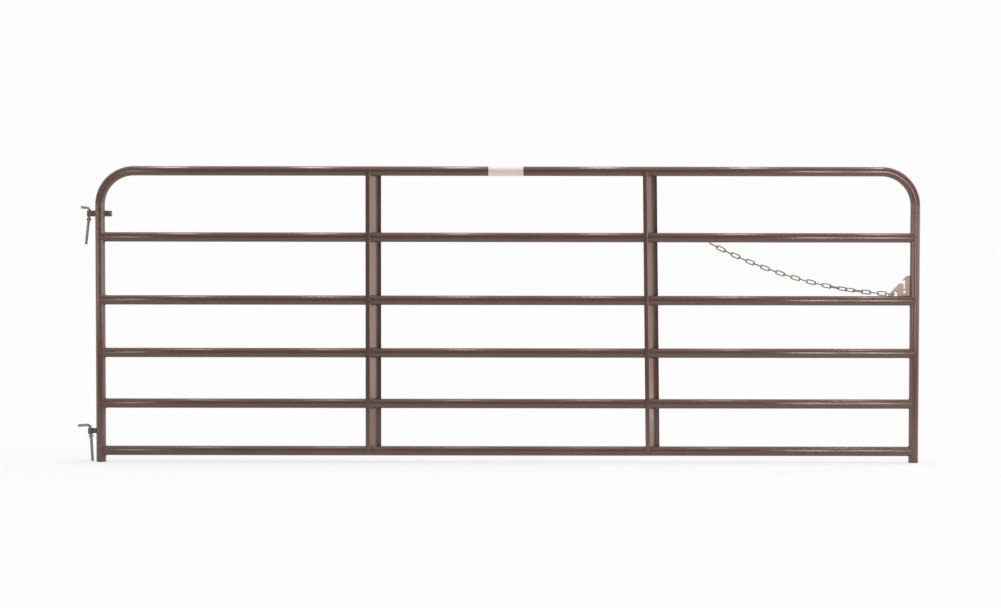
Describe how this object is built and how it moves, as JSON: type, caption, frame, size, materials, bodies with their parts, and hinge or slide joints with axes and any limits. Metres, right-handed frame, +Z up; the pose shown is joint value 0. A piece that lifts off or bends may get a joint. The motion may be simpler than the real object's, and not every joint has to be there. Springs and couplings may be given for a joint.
{
  "type": "field gate",
  "caption": "Tubular steel field gate: a bent tube hoop with straight rails and upright Z-section braces, hinge eyes with post hooks, and a chain on a slotted latch plate.",
  "frame": {"origin": "on the ground under the middle of the whole object, hooks included, in the plane of the rails", "axes": "+X along the gate from the hinges to the latch, +Y from the front to the back, +Z up"},
  "size_m": [3.6142, 0.0585, 1.27],
  "materials": {
    "brown_paint": "glossy powder coat",
    "plate_paint": "satin powder coat",
    "zinc_steel": "dull zinc plate",
    "chain_steel": "dull plated wire",
    "label_film": "blank film"
  },
  "bodies": {
    "gate": {"frame_tube": "brown_paint", "rail_2": "brown_paint", "rail_3": "brown_paint", "rail_4": "brown_paint", "rail_5": "brown_paint", "bottom_rail": "brown_paint", "brace_left": "brown_paint", "brace_right": "brown_paint", "top_hinge_strap": "brown_paint", "top_hinge_bolt": "brown_paint", "top_hinge_nut": "brown_paint", "bottom_hinge_eye": "brown_paint", "latch_plate": "plate_paint", "label": "label_film"},
    "top_hook": {"top_hook": "zinc_steel", "top_hook_nut": "zinc_steel"},
    "bottom_hook": {"bottom_hook": "zinc_steel", "bottom_hook_nut": "zinc_steel"},
    "chain_link_01": {"chain_link_01": "chain_steel"},
    "chain_link_02": {"chain_link_02": "chain_steel"},
    "chain_link_03": {"chain_link_03": "chain_steel"},
    "chain_link_04": {"chain_link_04": "chain_steel"},
    "chain_link_05": {"chain_link_05": "chain_steel"},
    "chain_link_06": {"chain_link_06": "chain_steel"},
    "chain_link_07": {"chain_link_07": "chain_steel"},
    "chain_link_08": {"chain_link_08": "chain_steel"},
    "chain_link_09": {"chain_link_09": "chain_steel"},
    "chain_link_10": {"chain_link_10": "chain_steel"},
    "chain_link_11": {"chain_link_11": "chain_steel"},
    "chain_link_12": {"chain_link_12": "chain_steel"},
    "chain_link_13": {"chain_link_13": "chain_steel"},
    "chain_link_14": {"chain_link_14": "chain_steel"},
    "chain_link_15": {"chain_link_15": "chain_steel"},
    "chain_link_16": {"chain_link_16": "chain_steel"},
    "chain_link_17": {"chain_link_17": "chain_steel"},
    "chain_link_18": {"chain_link_18": "chain_steel"},
    "chain_link_19": {"chain_link_19": "chain_steel"},
    "chain_link_20": {"chain_link_20": "chain_steel"},
    "chain_link_21": {"chain_link_21": "chain_steel"},
    "chain_link_22": {"chain_link_22": "chain_steel"},
    "chain_link_23": {"chain_link_23": "chain_steel"},
    "chain_link_24": {"chain_link_24": "chain_steel"}
  },
  "joints": [
    {"name": "top_hook_swivel", "type": "hinge", "parent": "gate", "child": "top_hook", "pos_m": [-1.75465, 0, 1.066], "axis": [0, 0, 1], "range_deg": [-100, 170]},
    {"name": "bottom_hook_swivel", "type": "hinge", "parent": "gate", "child": "bottom_hook", "pos_m": [-1.75465, 0, 0.1315], "axis": [0, 0, 1], "range_deg": [-138, 138]},
    {"name": "chain_hinge_01", "type": "hinge", "parent": "gate", "child": "chain_link_01", "pos_m": [1.70033, 0, 0.72517], "axis": [0.0468, 0, 0.9989], "range_deg": [-4, 4]},
    {"name": "chain_hinge_02", "type": "hinge", "parent": "chain_link_01", "child": "chain_link_02", "pos_m": [1.66596, 0, 0.72672], "axis": [-0.0668, 0, -0.9978], "range_deg": [-25, 25]},
    {"name": "chain_hinge_03", "type": "hinge", "parent": "chain_link_02", "child": "chain_link_03", "pos_m": [1.62635, 0, 0.72938], "axis": [0.0668, 0, 0.9978], "range_deg": [-25, 25]},
    {"name": "chain_hinge_04", "type": "hinge", "parent": "chain_link_03", "child": "chain_link_04", "pos_m": [1.59736, 0, 0.7319], "axis": [-0.1066, 0, -0.9943], "range_deg": [-25, 25]},
    {"name": "chain_hinge_05", "type": "hinge", "parent": "chain_link_04", "child": "chain_link_05", "pos_m": [1.55788, 0, 0.73613], "axis": [0.1066, 0, 0.9943], "range_deg": [-25, 25]},
    {"name": "chain_hinge_06", "type": "hinge", "parent": "chain_link_05", "child": "chain_link_06", "pos_m": [1.52639, 0, 0.74017], "axis": [-0.1459, 0, -0.9893], "range_deg": [-10, 10]},
    {"name": "chain_hinge_07", "type": "hinge", "parent": "chain_link_06", "child": "chain_link_07", "pos_m": [1.49235, 0, 0.74519], "axis": [0.1653, 0, 0.9862], "range_deg": [-25, 25]},
    {"name": "chain_hinge_08", "type": "hinge", "parent": "chain_link_07", "child": "chain_link_08", "pos_m": [1.45843, 0, 0.75087], "axis": [-0.1845, 0, -0.9828], "range_deg": [-10, 10]},
    {"name": "chain_hinge_09", "type": "hinge", "parent": "chain_link_08", "child": "chain_link_09", "pos_m": [1.42721, 0, 0.75671], "axis": [0.2035, 0, 0.9791], "range_deg": [-25, 25]},
    {"name": "chain_hinge_10", "type": "hinge", "parent": "chain_link_09", "child": "chain_link_10", "pos_m": [1.38834, 0, 0.76478], "axis": [-0.2035, 0, -0.9791], "range_deg": [-25, 25]},
    {"name": "chain_hinge_11", "type": "hinge", "parent": "chain_link_10", "child": "chain_link_11", "pos_m": [1.35997, 0, 0.77125], "axis": [0.2408, 0, 0.9706], "range_deg": [-25, 25]},
    {"name": "chain_hinge_12", "type": "hinge", "parent": "chain_link_11", "child": "chain_link_12", "pos_m": [1.32144, 0, 0.78081], "axis": [-0.2408, 0, -0.9706], "range_deg": [-25, 25]},
    {"name": "chain_hinge_13", "type": "hinge", "parent": "chain_link_12", "child": "chain_link_13", "pos_m": [1.29333, 0, 0.78835], "axis": [0.277, 0, 0.9609], "range_deg": [-25, 25]},
    {"name": "chain_hinge_14", "type": "hinge", "parent": "chain_link_13", "child": "chain_link_14", "pos_m": [1.25518, 0, 0.79935], "axis": [-0.277, 0, -0.9609], "range_deg": [-25, 25]},
    {"name": "chain_hinge_15", "type": "hinge", "parent": "chain_link_14", "child": "chain_link_15", "pos_m": [1.22737, 0, 0.80793], "axis": [0.3122, 0, 0.95], "range_deg": [-25, 25]},
    {"name": "chain_hinge_16", "type": "hinge", "parent": "chain_link_15", "child": "chain_link_16", "pos_m": [1.18966, 0, 0.82032], "axis": [-0.3122, 0, -0.95], "range_deg": [-25, 25]},
    {"name": "chain_hinge_17", "type": "hinge", "parent": "chain_link_16", "child": "chain_link_17", "pos_m": [1.16218, 0, 0.82991], "axis": [0.346, 0, 0.9382], "range_deg": [-25, 25]},
    {"name": "chain_hinge_18", "type": "hinge", "parent": "chain_link_17", "child": "chain_link_18", "pos_m": [1.12493, 0, 0.84365], "axis": [-0.346, 0, -0.9382], "range_deg": [-25, 25]},
    {"name": "chain_hinge_19", "type": "hinge", "parent": "chain_link_18", "child": "chain_link_19", "pos_m": [1.09781, 0, 0.8542], "axis": [0.3786, 0, 0.9255], "range_deg": [-25, 25]},
    {"name": "chain_hinge_20", "type": "hinge", "parent": "chain_link_19", "child": "chain_link_20", "pos_m": [1.06106, 0, 0.86923], "axis": [-0.3786, 0, -0.9255], "range_deg": [-25, 25]},
    {"name": "chain_hinge_21", "type": "hinge", "parent": "chain_link_20", "child": "chain_link_21", "pos_m": [1.03432, 0, 0.88071], "axis": [0.4099, 0, 0.9121], "range_deg": [-25, 25]},
    {"name": "chain_hinge_22", "type": "hinge", "parent": "chain_link_21", "child": "chain_link_22", "pos_m": [0.99811, 0, 0.89698], "axis": [-0.4099, 0, -0.9121], "range_deg": [-25, 25]},
    {"name": "chain_hinge_23", "type": "hinge", "parent": "chain_link_22", "child": "chain_link_23", "pos_m": [0.97177, 0, 0.90935], "axis": [0.4397, 0, 0.8981], "range_deg": [-25, 25]},
    {"name": "chain_hinge_24", "type": "hinge", "parent": "chain_link_23", "child": "chain_link_24", "pos_m": [0.93611, 0, 0.92681], "axis": [-0.4397, 0, -0.8981], "range_deg": [-25, 25]}
  ]
}
